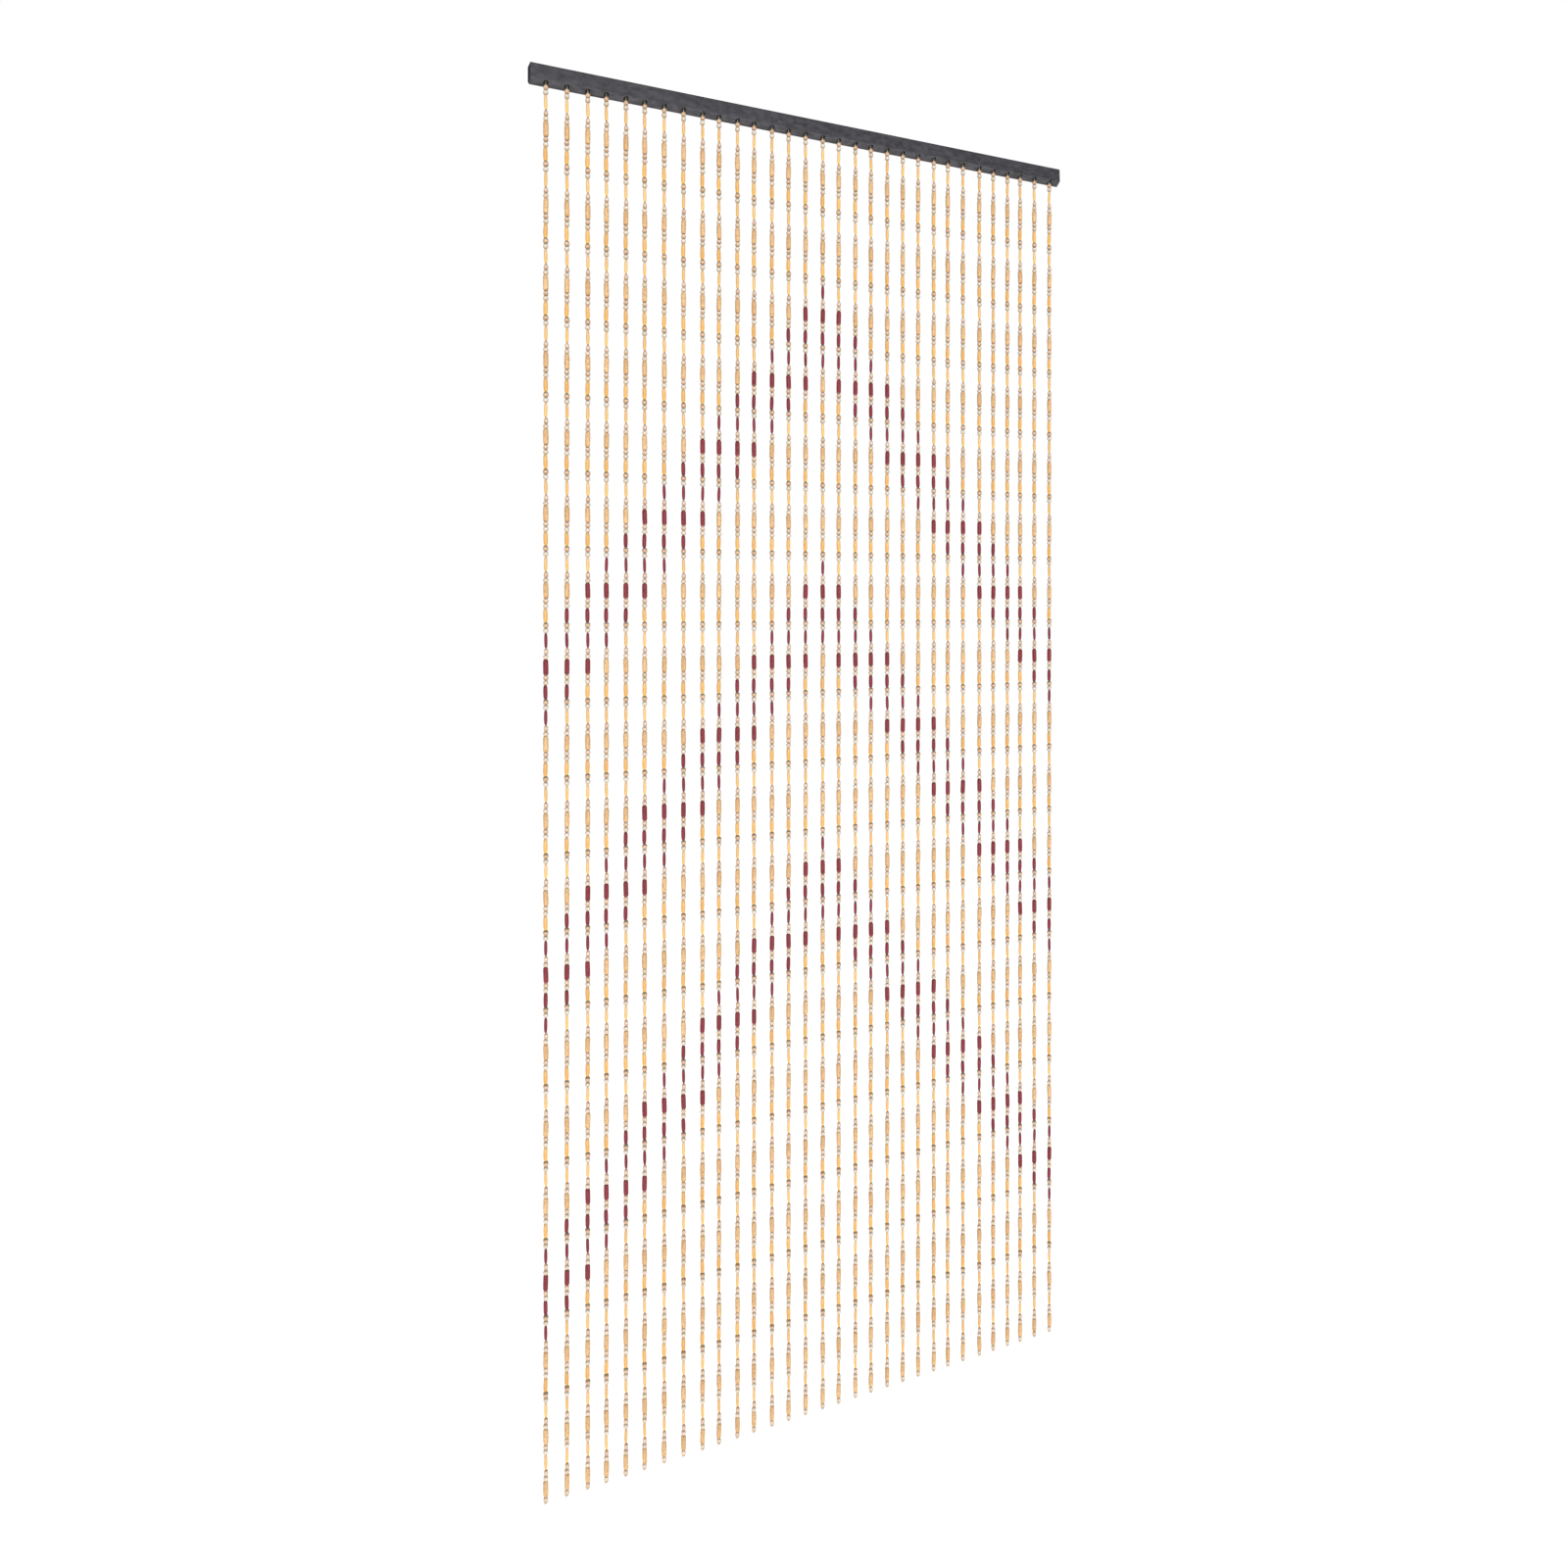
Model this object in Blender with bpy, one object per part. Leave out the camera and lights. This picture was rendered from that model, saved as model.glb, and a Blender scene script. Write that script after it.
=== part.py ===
"""A door curtain of strung beads on a plain top rail, built at its real size.

Thirty-one strands of wooden and pearl beads hang side by side from a charcoal
wooden rail, and burgundy beads among the pale ones draw three nested chevrons.
Lengths are in metres, +Z is up and the front faces -Y. The origin lies in the
middle of the rail's flat back face.
"""

import math

import bmesh
import bpy
from mathutils import Matrix

# The whole curtain, from the rail's top to the lowest bead
CURTAIN_WIDTH = 1.000
CURTAIN_DROP = 2.200

# The rail: a bar with a flat back, both lower edges planed off down to a narrow keel
RAIL_HEIGHT = 0.030
RAIL_DEPTH = 0.020
RAIL_LEAN = 0.001
RAIL_ROUNDING = 0.0008
BACK_HEIGHT = 0.023
KEEL_WIDTH = 0.003

# The keel strip that the strands hang from, parted from the rail above it
STRIP_HEIGHT = 0.0045
PART_GAP = 0.0003

# The strands, and how many millimetres each one hangs to the right of its even place
STRAND_COUNT = 31
STRAND_PITCH = 0.0317
STRAND_Y = -0.015
STRAND_SIDES = 3
STRAND_SHIFTS_MM = (
    0, 1, 2, 0, 0, -1, 0, 1, 2, -1, 0, -2, -1, -2, -2, -1,
    -2, -1, -2, -1, -1, -1, 0, -2, -1, 3, 2, 2, -1, 0, 3,
)
THREAD_WIDTH = 0.0035
ROOT_DEPTH = 0.0034
TIP_WIDTH = 0.0045

# One repeat of beads from the top down: name, length and width in millimetres
REPEAT = (
    ("tan round", 8.8, 8.3),
    ("pearl", 7.5, 8.2),
    ("narrow oval", 22.8, 5.3),
    ("small round", 10.4, 7.0),
    ("pearl", 7.0, 8.2),
    ("cylinder", 24.4, 8.1),
    ("two-tone round", 7.7, 7.9),
    ("pearl", 7.3, 7.8),
    ("broad oval", 21.7, 6.7),
)
WHOLE_REPEATS = 17
END_ROUND = ("end round", 9.7, 7.9)
LAST_REPEAT = REPEAT[:8] + REPEAT[2:6] + (END_ROUND,)

# How far the first bead of each strand reaches up past the rail's lowest line
FIRST_BEAD_RISE = 0.0019

# The chevrons: the long bead that each one starts at in the middle strand, counted
# from the top, and how many long beads it is tall
CHEVRON_STARTS = (6, 18, 30)
CHEVRON_HEIGHT = 4

# Finishes: red, green and blue as seen on screen, then roughness
FINISHES = {
    "charcoal wood": (0.31, 0.31, 0.33, 0.55),
    "pale wood": (0.90, 0.74, 0.55, 0.50),
    "amber wood": (0.97, 0.78, 0.50, 0.45),
    "burgundy wood": (0.55, 0.16, 0.24, 0.50),
}
LONG_BEAD_FINISH = {
    "narrow oval": "amber wood",
    "cylinder": "pale wood",
    "broad oval": "amber wood",
}

RAIL_TOP_Z = BACK_HEIGHT / 2
BEVEL_TOP_Z = RAIL_TOP_Z - BACK_HEIGHT
KEEL_Z = RAIL_TOP_Z - RAIL_HEIGHT
CUT_Z = KEEL_Z + STRIP_HEIGHT


def clear_scene():
    for thing in list(bpy.data.objects):
        bpy.data.objects.remove(thing, do_unlink=True)


def linear(value):
    """One colour channel as seen on screen, as the light it stands for."""
    if value <= 0.04045:
        return value / 12.92
    return ((value + 0.055) / 1.055) ** 2.4


def make_material(name):
    red, green, blue, roughness = FINISHES[name]
    material = bpy.data.materials.new(name)
    material.use_nodes = True
    shader = material.node_tree.nodes["Principled BSDF"]
    shader.inputs["Base Color"].default_value = (linear(red), linear(green), linear(blue), 1)
    shader.inputs["Roughness"].default_value = roughness
    shader.inputs["Metallic"].default_value = 0
    return material


def add_object(name, bm, finishes):
    """Turns a finished bmesh into an object with these finishes in its slots."""
    bmesh.ops.recalc_face_normals(bm, faces=bm.faces)
    mesh = bpy.data.meshes.new(name)
    bm.to_mesh(mesh)
    bm.free()
    for finish in finishes:
        mesh.materials.append(bpy.data.materials.get(finish) or make_material(finish))
    obj = bpy.data.objects.new(name, mesh)
    bpy.context.scene.collection.objects.link(obj)
    return obj


def planed_y(z):
    """Where the planed-off front edge of the rail lies at the height z."""
    keel_front = -(RAIL_DEPTH + KEEL_WIDTH) / 2
    share = (BEVEL_TOP_Z - z) / (BEVEL_TOP_Z - KEEL_Z)
    return -RAIL_DEPTH + share * (keel_front + RAIL_DEPTH)


def extruded_bar(outline):
    """A bar along X, as long as the curtain is wide, from an outline of (y, z) points."""
    bm = bmesh.new()
    rim = [bm.verts.new((-CURTAIN_WIDTH / 2, y, z)) for y, z in outline]
    end = bm.faces.new(rim)
    pushed = bmesh.ops.extrude_face_region(bm, geom=[end])["geom"]
    corners = [item for item in pushed if isinstance(item, bmesh.types.BMVert)]
    bmesh.ops.translate(bm, verts=corners, vec=(CURTAIN_WIDTH, 0, 0))
    return bm


def make_rail():
    """The bar above the parting line, with the long edges of its top eased."""
    cut_z = CUT_Z + PART_GAP
    front_y = planed_y(cut_z)
    outline = (
        (0, RAIL_TOP_Z),
        (-RAIL_DEPTH + RAIL_LEAN, RAIL_TOP_Z),
        (-RAIL_DEPTH, BEVEL_TOP_Z),
        (front_y, cut_z),
        (-RAIL_DEPTH - front_y, cut_z),
        (0, BEVEL_TOP_Z),
    )
    bm = extruded_bar(outline)
    top_edges = [
        edge
        for edge in bm.edges
        if edge.calc_length() > RAIL_HEIGHT and edge.verts[0].co.z > BEVEL_TOP_Z + PART_GAP
    ]
    bmesh.ops.bevel(
        bm,
        geom=top_edges,
        offset=RAIL_ROUNDING,
        segments=1,
        profile=0.5,
        affect="EDGES",
        material=-1,
    )
    return add_object("rail", bm, ["charcoal wood"])


def make_keel_strip():
    """The lowest part of the rail's outline, which the strands are fused to."""
    front_y = planed_y(CUT_Z)
    keel_front_y = planed_y(KEEL_Z)
    outline = (
        (front_y, CUT_Z),
        (keel_front_y, KEEL_Z),
        (keel_front_y + KEEL_WIDTH, KEEL_Z),
        (-RAIL_DEPTH - front_y, CUT_Z),
    )
    strip = add_object("keel_strip", extruded_bar(outline), FINISHES)
    strip.hide_render = True
    strip.display_type = "WIRE"
    return strip


def strand_beads():
    """Each bead of a strand from the top down, as (name, top z, bottom z, width)."""
    run = REPEAT * WHOLE_REPEATS + LAST_REPEAT
    top = KEEL_Z + FIRST_BEAD_RISE
    metres_per_mm = (CURTAIN_DROP - RAIL_TOP_Z + top) / sum(row[1] for row in run)
    beads = []
    for name, length, width in run:
        bottom = top - length * metres_per_mm
        beads.append((name, top, bottom, width / 1000))
        top = bottom
    return beads


def in_chevron(strand, long_index):
    """Whether a chevron passes through this long bead of this strand."""
    step = abs(strand - STRAND_COUNT // 2)
    return any(0 <= long_index - start - step < CHEVRON_HEIGHT for start in CHEVRON_STARTS)


def strand_sections(strand):
    """A strand's sections below its root, as (z, width, finish of the stretch above)."""
    beads = strand_beads()
    first_top, first_bottom, first_width = beads[0][1:]
    sections = [((first_top + first_bottom) / 2, first_width, "pale wood")]
    finish = "pale wood"
    long_index = 0
    for name, top, bottom, width in beads:
        if name not in LONG_BEAD_FINISH:
            continue
        finish_above = finish
        finish = LONG_BEAD_FINISH[name]
        if in_chevron(strand, long_index):
            finish = "burgundy wood"
        if name == "narrow oval":
            sections.append(((top + bottom) / 2, width, finish_above))
        if name == "cylinder":
            sections.append((top, width, finish_above))
            sections.append((bottom, width, finish))
        long_index += 1
    sections.append((beads[-1][2], TIP_WIDTH, "pale wood"))
    return sections


def add_strand(bm, strand):
    """Adds one closed strand: a three-sided ring, drawn down from section to section."""
    x = (strand - STRAND_COUNT // 2) * STRAND_PITCH + STRAND_SHIFTS_MM[strand] / 1000
    across = 2 * math.cos(math.pi / 2 / STRAND_SIDES)
    root_z = KEEL_Z + ROOT_DEPTH
    place = Matrix.Translation((x, STRAND_Y, root_z))
    ring = bmesh.ops.create_circle(
        bm,
        cap_ends=True,
        segments=STRAND_SIDES,
        radius=THREAD_WIDTH / across,
        matrix=place @ Matrix.Rotation(math.pi, 4, "Z"),
    )
    cap = ring["verts"][0].link_faces[0]
    width_above = THREAD_WIDTH
    z_above = root_z
    finish_slots = list(FINISHES)
    for z, width, finish in strand_sections(strand):
        pushed = bmesh.ops.extrude_face_region(bm, geom=[cap, *cap.edges])["geom"]
        cap = next(item for item in pushed if isinstance(item, bmesh.types.BMFace))
        bmesh.ops.translate(bm, verts=cap.verts, vec=(0, 0, z - z_above))
        growth = width / width_above
        bmesh.ops.scale(
            bm,
            verts=cap.verts,
            vec=(growth, growth, 1),
            space=Matrix.Translation((-x, -STRAND_Y, -z)),
        )
        for side in {face for edge in cap.edges for face in edge.link_faces}:
            side.material_index = finish_slots.index(finish)
        width_above = width
        z_above = z


def make_strands(strip):
    """All strands, joined to the keel strip by their roots into one solid."""
    bm = bmesh.new()
    for strand in range(STRAND_COUNT):
        add_strand(bm, strand)
    strands = add_object("strands", bm, FINISHES)
    union = strands.modifiers.new("fuse to keel strip", "BOOLEAN")
    union.operation = "UNION"
    union.object = strip
    return strands


clear_scene()
make_rail()
make_strands(make_keel_strip())
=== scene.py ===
# %% [markdown]
# # A bead curtain on its top rail
# This lesson dresses a door curtain: thirty-one threads of small beads that hang
# from a charcoal wooden rail, with burgundy beads drawing three nested chevrons.
# The solids of the rail and the strands come first, because they say where
# everything hangs. Each cell then makes one thing that the eye meets: one bead of
# each kind, the strung strands, the threads, and the rail with its drilled holes.

# %% Load the solids that fix every place and size
import math
import random

import bmesh
import bpy
from mathutils import Matrix, Vector


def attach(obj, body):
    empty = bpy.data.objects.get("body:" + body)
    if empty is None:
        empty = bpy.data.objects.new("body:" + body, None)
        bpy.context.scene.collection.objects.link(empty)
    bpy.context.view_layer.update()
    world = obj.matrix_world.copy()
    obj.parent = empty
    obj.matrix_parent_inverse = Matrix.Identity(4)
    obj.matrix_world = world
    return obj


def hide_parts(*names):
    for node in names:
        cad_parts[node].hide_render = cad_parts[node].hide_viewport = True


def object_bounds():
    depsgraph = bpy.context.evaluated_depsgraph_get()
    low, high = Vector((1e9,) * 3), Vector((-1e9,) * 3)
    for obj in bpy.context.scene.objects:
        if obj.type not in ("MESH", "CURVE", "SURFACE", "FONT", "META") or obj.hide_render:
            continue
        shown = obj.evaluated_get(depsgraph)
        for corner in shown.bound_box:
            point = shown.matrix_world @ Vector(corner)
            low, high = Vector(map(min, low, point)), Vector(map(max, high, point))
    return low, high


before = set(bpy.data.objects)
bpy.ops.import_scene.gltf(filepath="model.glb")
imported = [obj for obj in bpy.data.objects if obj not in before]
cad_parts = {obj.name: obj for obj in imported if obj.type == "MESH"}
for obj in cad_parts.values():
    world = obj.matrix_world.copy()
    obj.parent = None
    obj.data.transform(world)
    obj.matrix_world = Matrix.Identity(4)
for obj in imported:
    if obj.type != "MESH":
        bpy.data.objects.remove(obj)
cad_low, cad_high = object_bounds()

print("solids:", sorted(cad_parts), "size in metres:", [round(v, 3) for v in cad_high - cad_low])

# %% [markdown]
# ## The camera
# The view is a level one from the left, a little above the middle of the
# curtain, so the uprights stay upright and the rail's lines run together towards
# the right. A lens that looks up or down would lean the strands, so the frame is
# shifted down instead, just as an architect's shift lens does it.

# %% Set up the level camera with its frame shifted down
PICTURE_SIDE_PX = 1600
FOCAL_LENGTH_PX = 1127.6
HORIZON_ROW_PX = 615.2
SENSOR_WIDTH_MM = 36
CAMERA_PLACE = (-0.8517, -1.7044, -0.8106)
CAMERA_TURN_DEGREES = -24.72
LEVEL_DEGREES = 90

camera_data = bpy.data.cameras.new("level camera")
camera_data.sensor_width = SENSOR_WIDTH_MM
camera_data.lens = SENSOR_WIDTH_MM * FOCAL_LENGTH_PX / PICTURE_SIDE_PX
camera_data.shift_y = (HORIZON_ROW_PX - PICTURE_SIDE_PX / 2) / PICTURE_SIDE_PX
camera = bpy.data.objects.new("level camera", camera_data)
camera.location = CAMERA_PLACE
camera.rotation_euler = (math.radians(LEVEL_DEGREES), 0, math.radians(CAMERA_TURN_DEGREES))
bpy.context.scene.collection.objects.link(camera)
bpy.context.scene.camera = camera
print("lens in mm:", round(camera_data.lens, 2), "shift:", round(camera_data.shift_y, 4))

# %% [markdown]
# ## The floor
# The curtain hangs in a white studio. A white sheet would do for a floor, but it
# would show a horizon. So the floor is a plain pale plane just under the beads
# that also glows a little: it is bright enough to melt into the white backdrop,
# and it sends soft light up to the undersides of the beads.

# %% Lay the floor
FLOOR_GAP = 0.015
FLOOR_SIZE = 14
FLOOR_PAINT = (0.9, 0.9, 0.9, 1)
FLOOR_GLOW = 0.75
WHITE = (1, 1, 1, 1)

floor_shape = bmesh.new()
bmesh.ops.create_grid(
    floor_shape,
    x_segments=1,
    y_segments=1,
    size=FLOOR_SIZE / 2,
    matrix=Matrix.Translation((0, 0, cad_low.z - FLOOR_GAP)),
)
floor_mesh = bpy.data.meshes.new("pale floor")
floor_shape.to_mesh(floor_mesh)
floor_shape.free()
floor = bpy.data.objects.new("pale_floor", floor_mesh)
bpy.context.scene.collection.objects.link(floor)

floor_paint = bpy.data.materials.new("pale floor paint")
floor_paint.use_nodes = True
floor_shader = floor_paint.node_tree.nodes["Principled BSDF"]
floor_shader.inputs["Base Color"].default_value = FLOOR_PAINT
floor_shader.inputs["Roughness"].default_value = 1.0
floor_shader.inputs["Specular IOR Level"].default_value = 0.0
floor_shader.inputs["Emission Color"].default_value = WHITE
floor_shader.inputs["Emission Strength"].default_value = FLOOR_GLOW
floor_mesh.materials.append(floor_paint)
print("floor height in metres:", round(cad_low.z - FLOOR_GAP, 3))

# %% [markdown]
# ## The light
# A white backdrop that lit the beads as strongly as it looks would wash them out.
# A Light Path node tells the two apart: the camera sees pure white, and a dimmer
# white light comes from every side. A broad lamp in front, a little to the left
# and above, does the rest: it lights the faces that look at the viewer and leaves
# the flanks of the beads darker.

# %% Light the white room
ROOM_LIGHT = 0.3
LAMP_PLACE = (-1.9, -6.2, 0.9)
LAMP_SIZE = 2.4
LAMP_WATTS = 255

world = bpy.data.worlds.new("white room")
world.use_nodes = True
bpy.context.scene.world = world
sky = world.node_tree
backdrop = sky.nodes["Background"]
backdrop.inputs["Color"].default_value = WHITE
backdrop.inputs["Strength"].default_value = 1.0
room_light = sky.nodes.new("ShaderNodeBackground")
room_light.inputs["Color"].default_value = WHITE
room_light.inputs["Strength"].default_value = ROOM_LIGHT
ray_kind = sky.nodes.new("ShaderNodeLightPath")
chooser = sky.nodes.new("ShaderNodeMixShader")
sky.links.new(ray_kind.outputs["Is Camera Ray"], chooser.inputs["Fac"])
sky.links.new(room_light.outputs["Background"], chooser.inputs[1])
sky.links.new(backdrop.outputs["Background"], chooser.inputs[2])
sky.links.new(chooser.outputs["Shader"], sky.nodes["World Output"].inputs["Surface"])

lamp_data = bpy.data.lights.new("front lamp", "AREA")
lamp_data.size = LAMP_SIZE
lamp_data.energy = LAMP_WATTS
lamp = bpy.data.objects.new("front lamp", lamp_data)
lamp.location = LAMP_PLACE
lamp_aim = (cad_low + cad_high) / 2 - Vector(LAMP_PLACE)
lamp.rotation_euler = lamp_aim.to_track_quat("-Z", "Y").to_euler()
bpy.context.scene.collection.objects.link(lamp)
bpy.context.scene.view_settings.view_transform = "Standard"
print("lamp of", LAMP_WATTS, "watts,", round(lamp_aim.length, 2), "metres from the curtain")

# %% [markdown]
# ## Where the strands hang
# The beads belong exactly where the solid strands are. Their places could be
# typed in, but places that are read off the solids always agree with them. Each
# solid strand ends in a small three-cornered tip, so the corners near the floor
# are gathered and sorted from left to right, and a new strand begins wherever the
# next corner is more than a bead away.

# %% Read the strand places off the solids
RAIL_HEIGHT = 0.030
TIP_ZONE = 0.001
STRAND_SPACE = 0.010

strand_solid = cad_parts["strands"].data
tips = sorted(
    (corner.co.copy() for corner in strand_solid.vertices if corner.co.z < cad_low.z + TIP_ZONE),
    key=lambda corner: corner.x,
)
tip_groups = [[tips[0]]]
for corner in tips[1:]:
    if corner.x - tip_groups[-1][-1].x > STRAND_SPACE:
        tip_groups.append([])
    tip_groups[-1].append(corner)
strand_places = [sum(group, Vector()) / len(group) for group in tip_groups]
strand_places = [(place.x, place.y) for place in strand_places]
keel_z = cad_high.z - RAIL_HEIGHT
print(len(strand_places), "strands, the first at x =", round(strand_places[0][0], 4))

# %% [markdown]
# ## The order of the beads
# Every strand repeats the same nine beads, about 118 mm of them. After seventeen
# repeats the order changes, so that a cylinder and a somewhat longer round bead
# end the strand. More than five thousand beads can't be placed by hand, so a table
# with a row for each bead of the repeat gives the order. The beads start a
# little above the rail's lowest line, in front of its keel. One factor scales all
# their lengths, so that they fill the curtain's drop exactly.

# %% The stringing table
REPEAT = (
    # kind, length and width in mm
    ("tan_round", 8.8, 8.5),
    ("pearl_upper", 7.5, 8.2),
    ("narrow_oval", 22.8, 5.3),
    ("small_round", 10.4, 7.0),
    ("pearl_middle", 7.0, 8.2),
    ("cylinder", 24.4, 8.1),
    ("round_with_painted_light_and_shade", 7.7, 7.9),
    ("pearl_lower", 7.3, 8.2),
    ("broad_oval", 21.7, 6.7),
)
WHOLE_REPEATS = 17
END_ROUND = ("end_round", 9.7, 7.9)
LAST_REPEAT = REPEAT[:8] + REPEAT[2:6] + (END_ROUND,)
FIRST_BEAD_RISE = 0.0019

stringing = REPEAT * WHOLE_REPEATS + LAST_REPEAT
strand_top_z = keel_z + FIRST_BEAD_RISE
metres_per_mm = (strand_top_z - cad_low.z) / sum(row[1] for row in stringing)
print(len(stringing), "beads on each strand,", len(stringing) * len(strand_places), "in all")

# %% [markdown]
# ## The chevrons
# Only long beads are dyed, and the chevrons go by them. Marking the dyed beads one
# by one would hide the pattern, so a short test says it: counted from the top, a
# chevron starts at one long bead of the middle strand, is four long beads tall,
# and comes one long bead lower with each strand away from the middle.

# %% Tell the burgundy beads from the pale ones
LONG_BEADS = ("narrow_oval", "cylinder", "broad_oval")
CHEVRON_STARTS = (6, 18, 30)
CHEVRON_HEIGHT = 4
MIDDLE_STRAND = len(strand_places) // 2


def in_chevron(strand, long_index):
    """Whether a chevron passes through this long bead of this strand."""
    step = abs(strand - MIDDLE_STRAND)
    return any(0 <= long_index - start - step < CHEVRON_HEIGHT for start in CHEVRON_STARTS)


def strand_run(strand):
    """The beads of one strand as (kind, top z), burgundy ones marked in the kind."""
    top = strand_top_z
    long_index = 0
    for kind, length, _ in stringing:
        if kind in LONG_BEADS:
            dyed = in_chevron(strand, long_index)
            long_index += 1
        else:
            dyed = False
        yield ("burgundy_" + kind if dyed else kind), top
        top -= length * metres_per_mm


middle_kinds = [kind for kind, _ in strand_run(MIDDLE_STRAND)]
print("burgundy beads on the middle strand:", sum("burgundy" in kind for kind in middle_kinds))

# %% [markdown]
# ## The forms of the beads
# Real beads are turned on a lathe, so each kind starts as half an outline beside
# the thread. A stretched ball would be quicker, but it has no flat rim round the
# thread's hole and no shoulders. The outline comes from one formula: a width that
# swells as the sine of a half turn, raised to a power. A power near one gives a
# ball or an egg, and a small power gives a barrel with rounded shoulders. One kind
# has a short neck as well. The first bead of each strand is a smaller round than
# the tan ones further down.

# %% Draw half an outline for each kind of bead
MM_PER_METRE = 1000
BEAD_FORMS = {
    # kind: width at the hole in mm, swelling power, bands, sides, flute depth, neck in mm
    "top_round": (2.8, 0.9, 6, 10, 0.0, 0.0),
    "tan_round": (2.8, 0.9, 6, 10, 0.0, 0.0),
    "pearl_upper": (2.8, 0.9, 6, 10, 0.0, 0.0),
    "narrow_oval": (2.2, 0.72, 6, 10, 0.0, 0.0),
    "small_round": (2.6, 0.9, 6, 10, 0.0, 1.2),
    "pearl_middle": (2.8, 0.9, 6, 10, 0.0, 0.0),
    "cylinder": (5.6, 0.24, 5, 12, 0.04, 0.0),
    "round_with_painted_light_and_shade": (2.8, 0.9, 6, 10, 0.0, 0.0),
    "pearl_lower": (2.8, 0.9, 6, 10, 0.0, 0.0),
    "broad_oval": (3.4, 0.6, 6, 10, 0.0, 0.0),
    "end_round": (2.8, 0.85, 6, 10, 0.0, 0.0),
}
TOP_ROUND = ("top_round", 7.3, 7.9)
BEAD_SIZES = {kind: (length, width) for kind, length, width in (TOP_ROUND, *REPEAT, END_ROUND)}
first_bead_drop = (BEAD_SIZES["tan_round"][0] - BEAD_SIZES["top_round"][0]) * metres_per_mm


def half_outline(kind):
    """The bead's outline beside the thread, from the top hole's rim to the bottom one's."""
    hole_width, power, bands, _, _, neck = BEAD_FORMS[kind]
    length, width = BEAD_SIZES[kind]
    points = [(hole_width / 2, 0.0)] if neck else []
    for band in range(bands + 1):
        turn = math.pi * band / bands
        swell = math.sin(turn) ** power if 0 < band < bands else 0
        radius = hole_width / 2 + (width - hole_width) / 2 * swell
        points.append((radius, -neck - (length - neck) * (1 - math.cos(turn)) / 2))
    return [(radius / MM_PER_METRE, z * metres_per_mm) for radius, z in points]


first_drop_mm = round(first_bead_drop * MM_PER_METRE, 2)
print(len(BEAD_FORMS), "forms, the first bead of a strand set", first_drop_mm, "mm lower")

# %% [markdown]
# ## Turning the beads
# A spin carries each outline round the thread, and its first and last copies are
# merged. With ten or twelve sides a bead has sixty to seventy faces, which matters
# when there are more than five thousand of them, and smooth shading hides the
# corners. On the cylinders every second corner is pushed in, which gives them
# flutes. A number that runs from 0 at a bead's top to 1 at its bottom stays on its
# corners as an attribute, for the finishes.

# %% Turn one bead of each kind
MERGE_DISTANCE = 1e-6


def turn_bead(kind):
    """One closed bead under the origin, with its thread along Z."""
    _, _, _, sides, flute_depth, _ = BEAD_FORMS[kind]
    bead = bmesh.new()
    outline = [bead.verts.new((radius, 0, z)) for radius, z in half_outline(kind)]
    profile = [bead.edges.new(pair) for pair in zip(outline, outline[1:])]
    bmesh.ops.spin(
        bead,
        geom=outline + profile,
        axis=(0, 0, 1),
        cent=(0, 0, 0),
        angle=math.tau,
        steps=sides,
        use_merge=True,
    )
    bmesh.ops.remove_doubles(bead, verts=bead.verts, dist=MERGE_DISTANCE)
    bmesh.ops.holes_fill(bead, edges=[edge for edge in bead.edges if edge.is_boundary])
    if flute_depth:
        for corner in bead.verts:
            side = round(math.atan2(corner.co.y, corner.co.x) / math.tau * sides)
            if side % 2:
                corner.co.xy *= 1 - flute_depth
    bmesh.ops.recalc_face_normals(bead, faces=bead.faces)
    along = bead.verts.layers.float.new("along")
    bead_length = max(-corner.co.z for corner in bead.verts)
    for corner in bead.verts:
        corner[along] = -corner.co.z / bead_length
    mesh = bpy.data.meshes.new(kind)
    bead.to_mesh(mesh)
    bead.free()
    return mesh


bead_shapes = {kind: turn_bead(kind) for kind in BEAD_FORMS}
for kind, shape in bead_shapes.items():
    print(kind, "has", len(shape.polygons), "faces")

# %% [markdown]
# ## Colours for the finishes
# Each finish starts from colours as the eye reads them on a screen, and a helper
# turns these into the values that a shader works with. Other helpers start a
# material, read a value through a ramp of colours, and mix two colours. The nodes
# could be put together by hand in the editor, but with helpers each finish only
# says what is special to it.

# %% Helpers for colours
def seen(red, green, blue):
    """A colour as the eye reads it on screen, 0 to 255, turned into shader values."""
    channels = []
    for value in (red / 255, green / 255, blue / 255):
        channels.append(value / 12.92 if value <= 0.04045 else ((value + 0.055) / 1.055) ** 2.4)
    return (*channels, 1.0)


def start_finish(name, roughness, coat=0.0):
    """A new material, with its node tree and its Principled shader."""
    paint = bpy.data.materials.new(name)
    paint.use_nodes = True
    shader = paint.node_tree.nodes["Principled BSDF"]
    shader.inputs["Roughness"].default_value = roughness
    shader.inputs["Coat Weight"].default_value = coat
    return paint, paint.node_tree, shader


def colour_ramp(tree, value, stops):
    """A ramp that reads this value through colour stops of (place, colour)."""
    ramp = tree.nodes.new("ShaderNodeValToRGB")
    while len(ramp.color_ramp.elements) < len(stops):
        ramp.color_ramp.elements.new(0.5)
    for element, (place, colour) in zip(ramp.color_ramp.elements, stops):
        element.position = place
        element.color = seen(*colour)
    tree.links.new(value, ramp.inputs["Fac"])
    return ramp.outputs["Color"]


def blend_colours(tree, kind, share, first, second):
    """A mix of two colours: share, first and second are sockets or plain values."""
    mix = tree.nodes.new("ShaderNodeMix")
    mix.data_type = "RGBA"
    mix.blend_type = kind
    for socket, value in ((mix.inputs[0], share), (mix.inputs[6], first), (mix.inputs[7], second)):
        if isinstance(value, bpy.types.NodeSocket):
            tree.links.new(value, socket)
        else:
            socket.default_value = value
    return mix.outputs[2]


print("a middle grey on screen is", round(seen(128, 128, 128)[0], 3), "in a shader")

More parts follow.
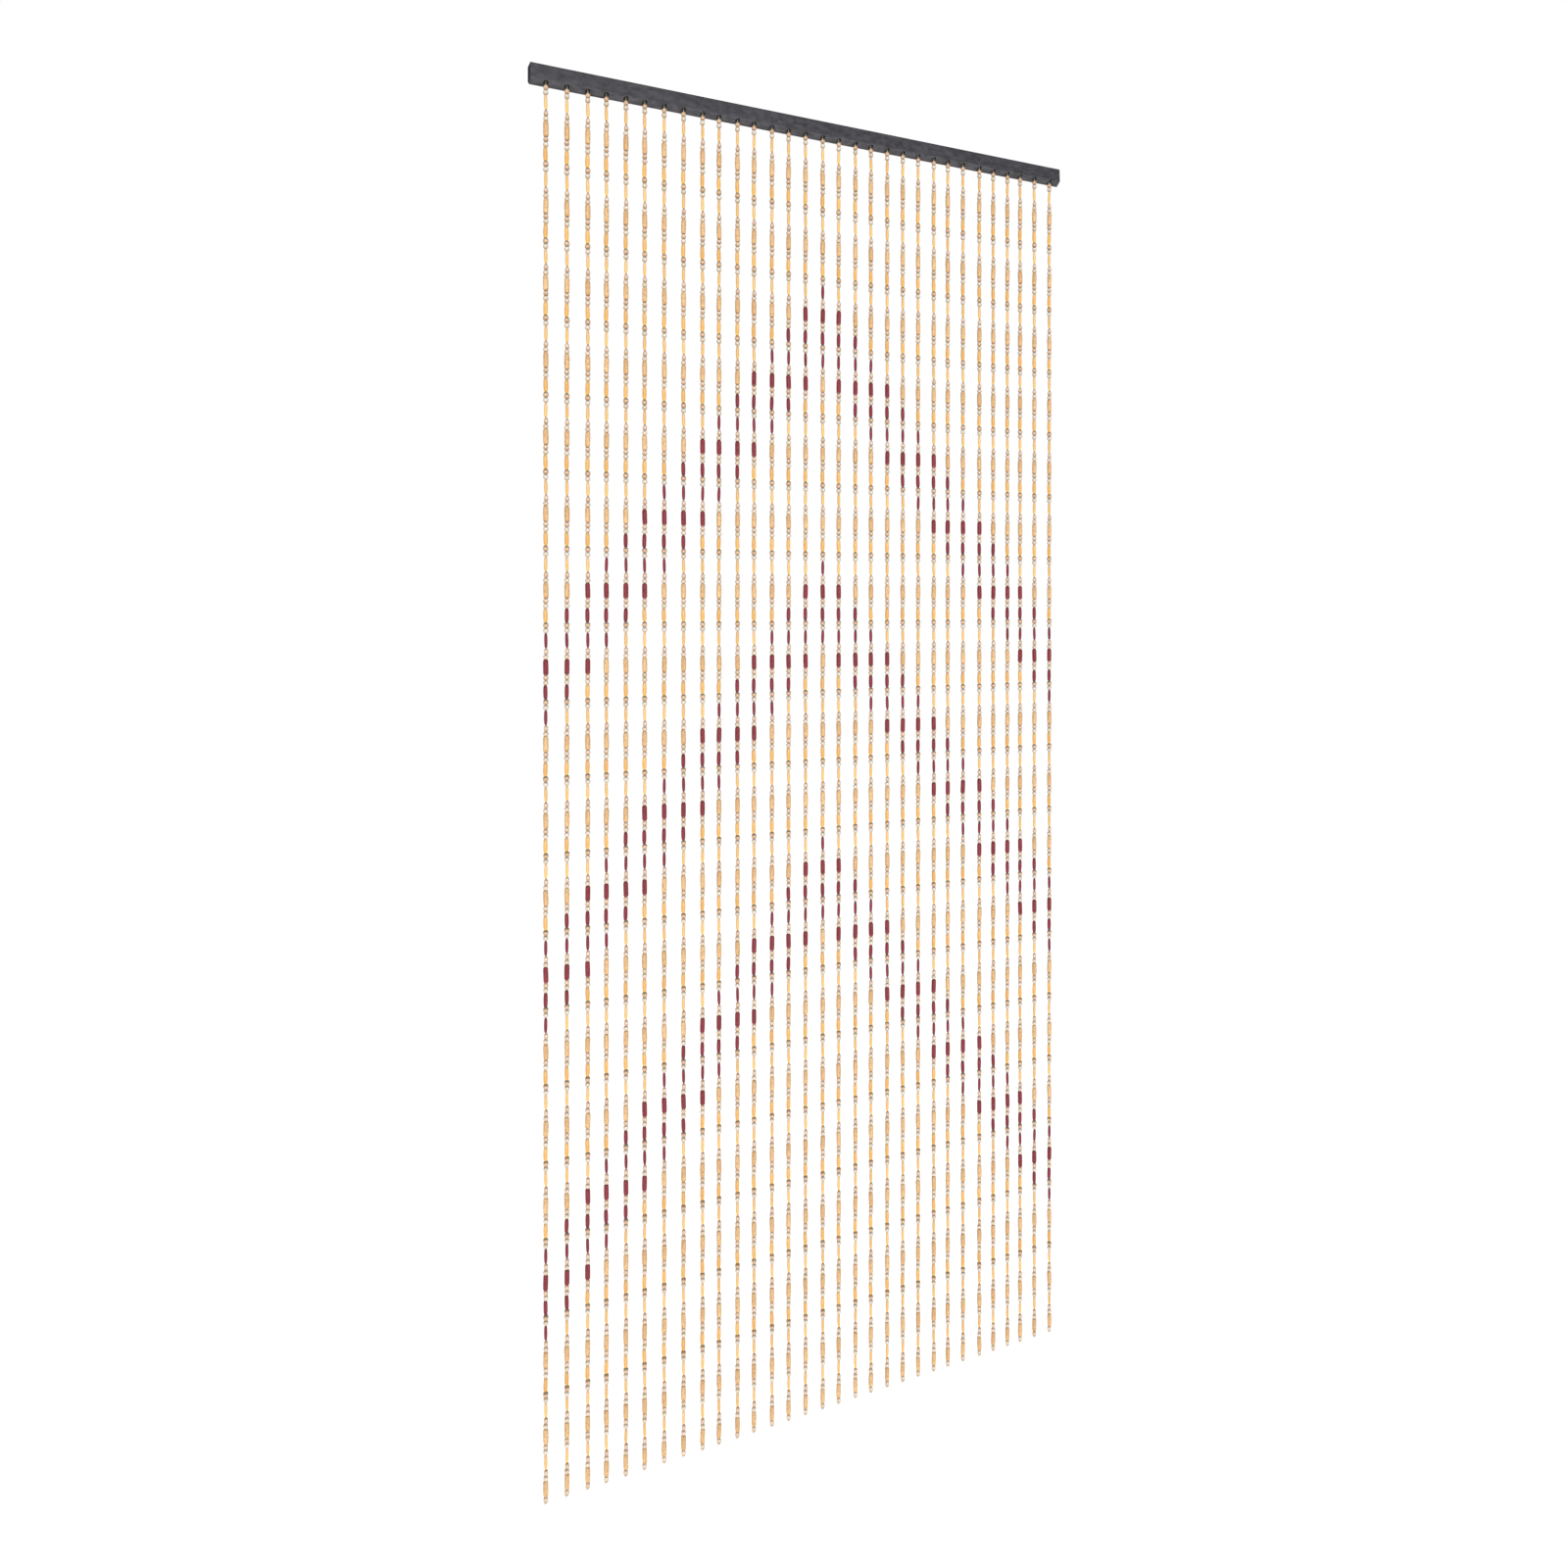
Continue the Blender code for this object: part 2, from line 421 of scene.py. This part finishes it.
# %% [markdown]
# ## Grain for the finishes
# Wood shows its grain as long thin streaks. A picture of wood would have to be
# wrapped round every bead and would repeat itself, so the grain is a noise that is
# stretched along the wood. One helper makes it, one spreads a narrow range of its
# values out to strong contrast, and one lets it raise the surface a little.

# %% Helpers for grain
NOISE_ROUGHNESS = 0.6


def grain_noise(tree, scale, detail):
    """A noise on Object coordinates, squeezed or stretched by a scale for each axis."""
    place = tree.nodes.new("ShaderNodeTexCoord")
    stretch = tree.nodes.new("ShaderNodeMapping")
    stretch.inputs["Scale"].default_value = scale
    noise = tree.nodes.new("ShaderNodeTexNoise")
    noise.inputs["Scale"].default_value = 1.0
    noise.inputs["Detail"].default_value = detail
    noise.inputs["Roughness"].default_value = NOISE_ROUGHNESS
    tree.links.new(place.outputs["Object"], stretch.inputs["Vector"])
    tree.links.new(stretch.outputs["Vector"], noise.inputs["Vector"])
    return noise.outputs["Fac"]


def spread_out(tree, value, low, high, most=1.0):
    """A value that rises from 0 at the low limit to the most at the high one."""
    spread = tree.nodes.new("ShaderNodeMapRange")
    spread.inputs["From Min"].default_value = low
    spread.inputs["From Max"].default_value = high
    spread.inputs["To Max"].default_value = most
    tree.links.new(value, spread.inputs["Value"])
    return spread.outputs["Result"]


def raise_grain(tree, shader, height, strength, depth):
    """Shades the surface as if this height raised it by up to this depth in metres."""
    bump = tree.nodes.new("ShaderNodeBump")
    bump.inputs["Strength"].default_value = strength
    bump.inputs["Distance"].default_value = depth
    tree.links.new(height, bump.inputs["Height"])
    tree.links.new(bump.outputs["Normal"], shader.inputs["Normal"])


print("every grain has a roughness of", NOISE_ROUGHNESS)

# %% [markdown]
# ## How a bead is finished
# A bead's colour changes from its top to its bottom. The pearls are painted creamy
# above and tan below, and the round beads lighter above and darker below, as
# painted highlight and shade from a light above. Most beads also darken at the
# holes, as painted shade where they meet. A colour ramp reads the attribute that
# runs along each bead, which follows every bead wherever it hangs.
# Another attribute holds one number a bead, which makes each a touch lighter or
# darker than its neighbours, and the grain adds the streaks of the wood.

# %% Put a bead's finish together
FINE_STREAKS = (1400, 1400, 110)
COARSE_FLECKS = (640, 640, 240)
STREAK_DETAIL = 3.0
STREAK_LIMITS = (0.42, 0.68)
DARKER_BEAD = (240, 232, 222)
BEAD_GRAIN_STRENGTH = 0.35
BEAD_GRAIN_DEPTH = 0.0002


def read_attribute(tree, name):
    """The number that an attribute of the mesh holds."""
    attribute = tree.nodes.new("ShaderNodeAttribute")
    attribute.attribute_name = name
    return attribute.outputs["Fac"]


def bead_finish_with_painted_shade(name, stops, roughness, coat, strength, streak_colour, streak_scale=FINE_STREAKS):
    """A bead's finish: colour stops from top to bottom with painted highlight and shade, tone by bead, and
    wood streaks.
    """
    paint, tree, shader = start_finish(name, roughness, coat)
    ramp = colour_ramp(tree, read_attribute(tree, "along"), stops)
    streaks = grain_noise(tree, streak_scale, STREAK_DETAIL)
    sharpened = spread_out(tree, streaks, *STREAK_LIMITS, strength)
    streaked = blend_colours(tree, "MULTIPLY", sharpened, ramp, seen(*streak_colour))
    tone = read_attribute(tree, "tone")
    toned = blend_colours(tree, "MULTIPLY", tone, streaked, seen(*DARKER_BEAD))
    tree.links.new(toned, shader.inputs["Base Color"])
    raise_grain(tree, shader, streaks, BEAD_GRAIN_STRENGTH, BEAD_GRAIN_DEPTH)
    return paint


print("streaks are", FINE_STREAKS[0] // FINE_STREAKS[2], "times as long as they are wide")

# %% [markdown]
# ## The colours of the beads
# Many of the woods and pearls differ by a shade only, so a table keeps them side
# by side, where they are easy to compare. The colour stops run from the top hole
# to the bottom hole and are given as the eye reads them. Their darker ends and the
# darker lower halves of the rounds and pearls are painted shade. The burgundy beads
# have the shapes of the pale ones and a matt dye that lets some of the grain show.

# %% Colour each kind of bead
WOOD_STREAK = (186, 142, 100)
PEARL_STREAK = (222, 210, 196)
BURGUNDY_STREAK = (168, 116, 128)
BEAD_COLOURS = {
    # kind: colour stops, then roughness, coat, streak strength and colour, and streak size
    # most kinds are painted darker at their holes, as shade where the beads meet, and the rounds and
    # pearls lighter above and darker below, as painted highlight and shade
    "top_round": (
        ((0.0, (186, 158, 130)), (0.3, (226, 196, 164)), (0.6, (222, 188, 154)), (1.0, (172, 136, 102))),
        0.35, 0.3, 0.25, WOOD_STREAK,
    ),
    # the dark ring near the top and the darker ends are painted shade round a lighter middle
    "tan_round": (
        ((0.0, (166, 146, 122)), (0.14, (150, 131, 109)), (0.22, (158, 138, 115)), (0.38, (230, 199, 166)),
         (0.6, (222, 187, 152)), (0.8, (182, 149, 116)), (1.0, (146, 120, 94))),
        0.35, 0.3, 0.25, WOOD_STREAK,
    ),
    "pearl_upper": (
        ((0.0, (188, 174, 156)), (0.25, (226, 214, 198)), (0.5, (234, 225, 212)), (0.75, (204, 188, 166)),
         (1.0, (168, 149, 124))),
        0.25, 0.5, 0.2, PEARL_STREAK,
    ),
    "narrow_oval": (
        ((0.0, (232, 192, 144)), (0.25, (244, 205, 144)), (0.5, (243, 202, 134)), (0.75, (244, 203, 122)),
         (0.93, (248, 204, 108)), (1.0, (196, 136, 76))),
        0.55, 0.0, 0.25, (230, 180, 116),
    ),
    "small_round": (
        ((0.0, (166, 118, 82)), (0.12, (191, 147, 110)), (0.26, (225, 198, 173)), (0.5, (235, 214, 194)),
         (0.74, (197, 164, 135)), (1.0, (175, 142, 112))),
        0.3, 0.4, 0.2, PEARL_STREAK,
    ),
    "pearl_middle": (
        ((0.0, (206, 189, 166)), (0.25, (236, 221, 201)), (0.5, (232, 217, 197)), (0.75, (214, 194, 168)),
         (1.0, (180, 154, 122))),
        0.25, 0.5, 0.2, PEARL_STREAK,
    ),
    "cylinder": (
        ((0.0, (208, 170, 121)), (0.08, (232, 198, 151)), (0.5, (233, 196, 145)), (0.78, (240, 204, 151)),
         (0.92, (224, 184, 133)), (1.0, (152, 117, 82))),
        0.65, 0.0, 0.75, (202, 159, 113), COARSE_FLECKS,
    ),
    # lighter above and darker and browner below: painted highlight and painted shade
    "round_with_painted_light_and_shade": (
        ((0.0, (202, 182, 158)), (0.25, (240, 222, 200)), (0.5, (230, 202, 172)), (0.72, (192, 156, 120)),
         (1.0, (168, 138, 108))),
        0.3, 0.4, 0.2, WOOD_STREAK,
    ),
    "pearl_lower": (
        ((0.0, (198, 183, 162)), (0.25, (238, 228, 212)), (0.5, (232, 220, 203)), (0.75, (208, 188, 162)),
         (1.0, (174, 148, 116))),
        0.25, 0.5, 0.2, PEARL_STREAK,
    ),
    "end_round": (
        ((0.0, (200, 178, 154)), (0.22, (240, 228, 210)), (0.5, (228, 208, 184)), (0.75, (178, 146, 112)),
         (1.0, (132, 100, 72))),
        0.25, 0.5, 0.2, PEARL_STREAK,
    ),
    "broad_oval": (
        ((0.0, (220, 180, 130)), (0.22, (241, 197, 125)), (0.5, (240, 189, 109)), (0.8, (239, 186, 100)),
         (0.94, (244, 195, 78)), (1.0, (178, 150, 66))),
        0.55, 0.0, 0.3, (232, 168, 104),
    ),
    "burgundy_narrow_oval": (
        ((0.0, (122, 38, 50)), (0.3, (145, 46, 59)), (0.8, (141, 44, 57)), (1.0, (106, 33, 43))),
        0.65, 0.0, 0.6, BURGUNDY_STREAK,
    ),
    "burgundy_cylinder": (
        ((0.0, (124, 38, 50)), (0.1, (150, 49, 62)), (0.9, (144, 45, 58)), (1.0, (188, 140, 104))),
        0.65, 0.0, 0.9, BURGUNDY_STREAK, COARSE_FLECKS,
    ),
    "burgundy_broad_oval": (
        ((0.0, (124, 38, 50)), (0.3, (147, 46, 59)), (0.8, (141, 44, 57)), (1.0, (108, 33, 43))),
        0.65, 0.0, 0.6, BURGUNDY_STREAK,
    ),
}
bead_paints = {kind: bead_finish_with_painted_shade(kind + " finish", *look) for kind, look in BEAD_COLOURS.items()}
print(len(bead_paints), "bead finishes")

# %% [markdown]
# ## A helper for finished pieces
# Everything on the curtain belongs to its one body, so the same few steps end the
# making of each beaded or threaded piece: it gets its finish and smooth shading that
# stops at sharp corners, and the solid that it stands for is hidden.

# %% Turn a finished mesh into a piece
SHARP_CORNER_DEGREES = 48


def make_piece(name, mesh, paint, node):
    """Puts a finished mesh into the scene as a piece that stands for this solid."""
    mesh.materials.append(paint)
    mesh.shade_smooth()
    mesh.set_sharp_from_angle(angle=math.radians(SHARP_CORNER_DEGREES))
    piece = bpy.data.objects.new(name, mesh)
    bpy.context.scene.collection.objects.link(piece)
    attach(piece, "root")
    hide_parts(node)
    print(name, "has", len(mesh.polygons), "faces")


print("corners of more than", SHARP_CORNER_DEGREES, "degrees stay sharp")

# %% [markdown]
# ## Places for the beads
# All strands are walked from the top down, and each bead's place goes on the list
# of its kind. The first bead of a strand hangs from a lower point, because it is
# shorter than the tan round whose place it takes.

# %% List the places of each kind of bead
places = {kind: [] for kind in BEAD_COLOURS}
for strand, (strand_x, strand_y) in enumerate(strand_places):
    for order, (kind, top_z) in enumerate(strand_run(strand)):
        if order == 0:
            kind = "top_round"
            top_z -= first_bead_drop
        places[kind].append(Vector((strand_x, strand_y, top_z)))
print("cylinders:", len(places["cylinder"]), "pale,", len(places["burgundy_cylinder"]), "burgundy")

# %% [markdown]
# ## Stringing the beads
# The beads of one kind become one piece, because thousands of separate objects
# would be slow to handle. A strung bead is never quite straight: each is turned
# round its thread by chance, leans by a degree or so and sits a hair off the
# line, and two kinds sit a little to one side of it. The chance comes from one
# seeded source, so that every run strings the same curtain.

# %% String every kind of bead on its strands
LEAN_DEGREES = 1.6
SLIP = 0.00018
SIDE_SHIFTS = {"small_round": 0.0004, "broad_oval": -0.0004}
CHANCE_SEED = 31
chance = random.Random(CHANCE_SEED)


def strung_matrix(place, middle, side_shift):
    """Where a bead ends up: on its strand, with a chance lean, turn and slip."""
    lean = Matrix.Rotation(math.radians(chance.uniform(-LEAN_DEGREES, LEAN_DEGREES)), 4, "X")
    lean @= Matrix.Rotation(math.radians(chance.uniform(-LEAN_DEGREES, LEAN_DEGREES)), 4, "Y")
    roll = Matrix.Rotation(chance.uniform(0, math.tau), 4, "Z")
    slip_x = chance.uniform(-SLIP, SLIP) + side_shift
    slip_y = chance.uniform(-SLIP, SLIP)
    hung = Matrix.Translation(place + Vector((slip_x, slip_y, 0)))
    return hung @ middle @ lean @ roll @ middle.inverted()


def string_up(kind):
    """Joins a copy of this kind's bead at each of its places into one piece."""
    form = kind.removeprefix("burgundy_")
    shape = bead_shapes[form]
    middle = Matrix.Translation((0, 0, -BEAD_SIZES[form][0] * metres_per_mm / 2))
    joined = bmesh.new()
    tone = joined.verts.layers.float.new("tone")
    for place in places[kind]:
        move = strung_matrix(place, middle, SIDE_SHIFTS.get(form, 0))
        bead_tone = chance.random()
        strung = len(joined.verts)
        joined.from_mesh(shape)
        joined.verts.ensure_lookup_table()
        for corner in joined.verts[strung:]:
            corner.co = move @ corner.co
            corner[tone] = bead_tone
    mesh = bpy.data.meshes.new(kind)
    joined.to_mesh(mesh)
    joined.free()
    slot_name = "pearl" if "pearl" in kind else "bead_wood"
    make_piece(kind + "_beads", mesh, bead_paints[kind], "strands")


for kind in BEAD_COLOURS:
    string_up(kind)

# %% [markdown]
# ## Threads, knots and tails
# A clear nylon thread runs down through each strand. A fine end of it comes out of
# the wood and is tied off in a small pale knot just above the first bead. Under
# the last bead it is knotted again and cut, which leaves a short pale brown tail
# that points down and to the left. Curves would do for threads too, but these hang
# straight, so thin cones and small flattened balls are enough.

# %% Hang the threads and tie the knots
HOLE_DEPTH = 0.0075
THREAD_SIDES = 6
THREAD_RADIUS = 0.00045
FINE_END_RADIUS = 0.0002
KNOT_RADIUS = 0.0012
KNOT_RISE = KNOT_RADIUS * 0.6
FLATTENED_KNOT = Matrix.Diagonal((1.1, 1.0, 0.8, 1.0))
TAIL_LENGTH = 0.0045
TAIL_RADIUS = 0.0005
TAIL_END_RADIUS = TAIL_RADIUS * 0.7
TAIL_LEAN = math.radians(38)


def add_thread(mesh_parts, top, bottom, top_radius, bottom_radius):
    """Adds a straight stretch of thread between two points."""
    run = top - bottom
    upright = run.to_track_quat("Z", "Y").to_matrix().to_4x4()
    bmesh.ops.create_cone(
        mesh_parts,
        cap_ends=True,
        segments=THREAD_SIDES,
        radius1=bottom_radius,
        radius2=top_radius,
        depth=run.length,
        matrix=Matrix.Translation((top + bottom) / 2) @ upright,
    )


def add_knot(mesh_parts, place):
    """Adds a small knot, a little broader than it is tall."""
    bmesh.ops.create_icosphere(
        mesh_parts,
        subdivisions=1,
        radius=KNOT_RADIUS,
        matrix=Matrix.Translation(place) @ FLATTENED_KNOT,
    )


threads = bmesh.new()
tails = bmesh.new()
first_bead_top_z = strand_top_z - first_bead_drop
for strand_x, strand_y in strand_places:
    hole_end, first_knot, last_knot = (
        Vector((strand_x, strand_y, z)) for z in (keel_z + HOLE_DEPTH, first_bead_top_z, cad_low.z)
    )
    add_thread(threads, hole_end, first_knot, FINE_END_RADIUS, FINE_END_RADIUS)
    add_thread(threads, first_knot, last_knot, THREAD_RADIUS, THREAD_RADIUS)
    add_knot(threads, first_knot + Vector((0, 0, KNOT_RISE)))
    add_knot(threads, last_knot)
    tail_end = last_knot + Vector((-math.sin(TAIL_LEAN), 0, -math.cos(TAIL_LEAN))) * TAIL_LENGTH
    add_thread(tails, last_knot, tail_end, TAIL_RADIUS, TAIL_END_RADIUS)
print("each thread is", round(keel_z + HOLE_DEPTH - cad_low.z, 4), "metres long above its tail")

# %% [markdown]
# ## The nylon
# Clear nylon looks slightly cloudy. A glassy material would be slow to render and
# would barely show on such thin threads, so the colour wanders between two pale
# tones instead. The cut tails at the foot are browner than the knots in the holes,
# so they become a piece of their own.

# %% Finish the threads
NYLON_ROUGHNESS = 0.25
NYLON_COAT = 0.3
CLOUDINESS_SCALE = (900, 900, 300)
CLOUDINESS_DETAIL = 2.0
PALE_NYLON = ((232, 222, 206), (196, 180, 158))
BROWNER_NYLON = ((206, 184, 160), (172, 148, 122))


def thread_piece(name, mesh_parts, lighter, darker):
    """Turns threads into a piece with a slightly cloudy nylon finish."""
    bmesh.ops.recalc_face_normals(mesh_parts, faces=mesh_parts.faces)
    mesh = bpy.data.meshes.new(name)
    mesh_parts.to_mesh(mesh)
    mesh_parts.free()
    nylon, tree, shader = start_finish(name + " nylon", NYLON_ROUGHNESS, NYLON_COAT)
    cloudiness = grain_noise(tree, CLOUDINESS_SCALE, CLOUDINESS_DETAIL)
    colour = blend_colours(tree, "MIX", cloudiness, seen(*lighter), seen(*darker))
    tree.links.new(colour, shader.inputs["Base Color"])
    make_piece(name, mesh, nylon, "strands")


thread_piece("threads_and_knots", threads, *PALE_NYLON)
thread_piece("thread_tails", tails, *BROWNER_NYLON)

# %% [markdown]
# ## The rail's bar
# The rail is one wooden bar. It has a flat back and top, a front that leans out a
# little towards its foot, and two planed-off lower edges that meet in a narrow
# keel. A box with its corners moved would do, but an outline that is pushed along
# the whole width keeps the rail's section in one short list. A bevel then eases
# all the edges, as sandpaper would.

# %% Shape the rail's bar
RAIL_DEPTH = 0.020
RAIL_LEAN = 0.001
BACK_HEIGHT = 0.023
KEEL_WIDTH = 0.003
EDGE_ROUNDING = 0.0005

keel_front_y = -(RAIL_DEPTH + KEEL_WIDTH) / 2
planed_z = cad_high.z - BACK_HEIGHT
outline = (
    (0, cad_high.z),
    (-RAIL_DEPTH + RAIL_LEAN, cad_high.z),
    (-RAIL_DEPTH, planed_z),
    (keel_front_y, keel_z),
    (keel_front_y + KEEL_WIDTH, keel_z),
    (0, planed_z),
)
bar = bmesh.new()
rim = [bar.verts.new((cad_low.x, y, z)) for y, z in outline]
end_face = bar.faces.new(rim)
pushed = bmesh.ops.extrude_face_region(bar, geom=[end_face])["geom"]
far_rim = [item for item in pushed if isinstance(item, bmesh.types.BMVert)]
bmesh.ops.translate(bar, verts=far_rim, vec=(cad_high.x - cad_low.x, 0, 0))
bmesh.ops.recalc_face_normals(bar, faces=bar.faces)
bmesh.ops.bevel(
    bar,
    geom=list(bar.edges),
    offset=EDGE_ROUNDING,
    segments=2,
    profile=0.5,
    affect="EDGES",
    material=-1,
)
bar_mesh = bpy.data.meshes.new("rail")
bar.to_mesh(bar_mesh)
bar.free()
print("bar with", len(bar_mesh.polygons), "faces,", round(cad_high.x - cad_low.x, 3), "metres wide")

# %% [markdown]
# ## The drill
# A row of holes, one above each strand, takes up the knots. A cut of its own for
# each hole would be slow, so the drill for all of them is one mesh of separate
# rods that reach up into the bar as deep as the holes.

# %% Make the drill
HOLE_RADIUS = 0.0044
HOLE_SIDES = 20

drill = bmesh.new()
drill_length = HOLE_DEPTH * 2
for strand_x, strand_y in strand_places:
    bmesh.ops.create_cone(
        drill,
        cap_ends=True,
        segments=HOLE_SIDES,
        radius1=HOLE_RADIUS,
        radius2=HOLE_RADIUS,
        depth=drill_length,
        matrix=Matrix.Translation((strand_x, strand_y, keel_z + HOLE_DEPTH - drill_length / 2)),
    )
drill_mesh = bpy.data.meshes.new("drill")
drill.to_mesh(drill_mesh)
drill.free()
print("drill for", len(strand_places), "holes,", round(HOLE_RADIUS * 2 * MM_PER_METRE, 1), "mm wide")

# %% [markdown]
# ## The rail's grain
# The wood is stained charcoal and brushed. Long streaks follow the grain. A mottle
# of brush marks about a centimetre across lies over them, and broad patches took up
# a little more or less stain. One noise could not do all this, so each layer is a
# noise of its own, stretched along the rail by a different amount.

# %% Stain the rail
CHARCOAL_ROUGHNESS = 0.6
LONG_STREAK_SCALE = (16, 700, 900)
LONG_STREAK_DETAIL = 6.0
DARK_STREAK = (62, 61, 65)
LIGHT_STREAK = (94, 93, 99)
STAIN_LAYERS = (
    # noise scale for each axis, detail, and the colour that darkens the wood
    ((75, 130, 170), 3.0, (176, 176, 179)),
    ((9, 30, 40), 2.0, (232, 231, 233)),
)
STAIN_LIMITS = (0.34, 0.66)
RAIL_GRAIN_STRENGTH = 0.4
RAIL_GRAIN_DEPTH = 0.0003

charcoal, charcoal_tree, charcoal_shader = start_finish("charcoal stained wood", CHARCOAL_ROUGHNESS)
long_streaks = grain_noise(charcoal_tree, LONG_STREAK_SCALE, LONG_STREAK_DETAIL)
stained = blend_colours(charcoal_tree, "MIX", long_streaks, seen(*DARK_STREAK), seen(*LIGHT_STREAK))
for scale, detail, stain_colour in STAIN_LAYERS:
    marks = spread_out(charcoal_tree, grain_noise(charcoal_tree, scale, detail), *STAIN_LIMITS)
    stained = blend_colours(charcoal_tree, "MULTIPLY", marks, stained, seen(*stain_colour))
raise_grain(charcoal_tree, charcoal_shader, long_streaks, RAIL_GRAIN_STRENGTH, RAIL_GRAIN_DEPTH)
print("the stain has", len(charcoal_tree.nodes), "nodes so far")

# %% [markdown]
# ## The rail's edges
# The planed lower faces are painted a shade lighter than the front, as painted
# light. The wood is darker along the keel and in a dark line along the top. One
# ramp on the height does all of this, so the bar needs no separate materials. A mask
# on the distance from the middle darkens the ends: painted shade on the end faces,
# on top of end grain that drinks more stain.

# %% Shade the rail's edges and ends
HEIGHT_BANDS = (
    # place between the keel and the top, and the colour that darkens the wood there
    (0.0, (212, 211, 210)),
    # the planed lower faces: painted a shade lighter, as painted light
    (0.05, (250, 249, 249)),
    (0.225, (250, 250, 251)),
    (0.25, (233, 233, 235)),
    (0.94, (233, 233, 235)),
    (0.98, (120, 120, 124)),
)
END_GRAIN_START = 0.0004
END_GRAIN_FULL = 0.0001
# painted shade on the end faces, with end grain that drinks more stain
END_STAIN_AND_SHADE = (84, 83, 85)

where = charcoal_tree.nodes.new("ShaderNodeTexCoord")
axes = charcoal_tree.nodes.new("ShaderNodeSeparateXYZ")
charcoal_tree.links.new(where.outputs["Object"], axes.inputs["Vector"])
height = spread_out(charcoal_tree, axes.outputs["Z"], keel_z, cad_high.z)
bands = colour_ramp(charcoal_tree, height, HEIGHT_BANDS)
banded = blend_colours(charcoal_tree, "MULTIPLY", 1.0, stained, bands)

from_middle = charcoal_tree.nodes.new("ShaderNodeMath")
from_middle.operation = "ABSOLUTE"
charcoal_tree.links.new(axes.outputs["X"], from_middle.inputs[0])
end_stain_and_shade_mask = spread_out(
    charcoal_tree,
    from_middle.outputs["Value"],
    cad_high.x - END_GRAIN_START,
    cad_high.x - END_GRAIN_FULL,
)
ended = blend_colours(charcoal_tree, "MULTIPLY", end_stain_and_shade_mask, banded, seen(*END_STAIN_AND_SHADE))
charcoal_tree.links.new(ended, charcoal_shader.inputs["Base Color"])
print("end grain starts", END_GRAIN_START * MM_PER_METRE, "mm from each end")

# %% [markdown]
# ## Drilling the rail
# The wood inside the holes is rough and a little browner than the front, and its
# dark colour is painted shade inside the recess. It could be painted on afterwards,
# hole by hole, but here the drill carries it: the Boolean step that cuts the holes
# is told to pass the drill's finish on to the cut faces. Only the small faces, such
# as the walls of the holes, are shaded smooth, because smooth shading would bend the
# light on the large flat ones.

# %% Drill the rail and put it up
HOLE_ROUGHNESS = 0.8
HOLE_GRAIN_SCALE = (600, 600, 200)
HOLE_GRAIN_DETAIL = 3.0
# the dark colours inside the holes are painted shade in the recess, on rough, browner wood
HOLE_DARK = (48, 46, 43)
HOLE_LIGHT = (70, 66, 61)
LARGEST_SMOOTH_FACE = 0.00002

hole_wood_and_painted_shade, hole_tree, hole_shader = start_finish("wood inside a hole with painted shade", HOLE_ROUGHNESS)
hole_grain = grain_noise(hole_tree, HOLE_GRAIN_SCALE, HOLE_GRAIN_DETAIL)
hole_colour = blend_colours(hole_tree, "MIX", hole_grain, seen(*HOLE_DARK), seen(*HOLE_LIGHT))
hole_tree.links.new(hole_colour, hole_shader.inputs["Base Color"])

bar_mesh.materials.append(charcoal)
drill_mesh.materials.append(hole_wood_and_painted_shade)
bar_object = bpy.data.objects.new("undrilled bar", bar_mesh)
drill_object = bpy.data.objects.new("drill", drill_mesh)
for helper in (bar_object, drill_object):
    bpy.context.scene.collection.objects.link(helper)
drilling = bar_object.modifiers.new("drill holes", "BOOLEAN")
drilling.operation = "DIFFERENCE"
drilling.object = drill_object
drilling.material_mode = "TRANSFER"
bpy.context.view_layer.update()
drilled = bar_object.evaluated_get(bpy.context.evaluated_depsgraph_get())
rail_mesh = bpy.data.meshes.new_from_object(drilled)
for helper in (bar_object, drill_object):
    bpy.data.objects.remove(helper)

for face in rail_mesh.polygons:
    face.use_smooth = face.area < LARGEST_SMOOTH_FACE
rail_piece = bpy.data.objects.new("charcoal_rail", rail_mesh)
bpy.context.scene.collection.objects.link(rail_piece)
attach(rail_piece, "root")
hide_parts("rail")
print("rail has", len(rail_mesh.polygons), "faces and", len(rail_mesh.materials), "finishes")

# %% [markdown]
# ## The last update
# The dressed curtain must fill the same box as its solids, give or take the tails.
# This cell only brings the scene up to date.

# %% Bring the scene up to date
bpy.context.view_layer.update()
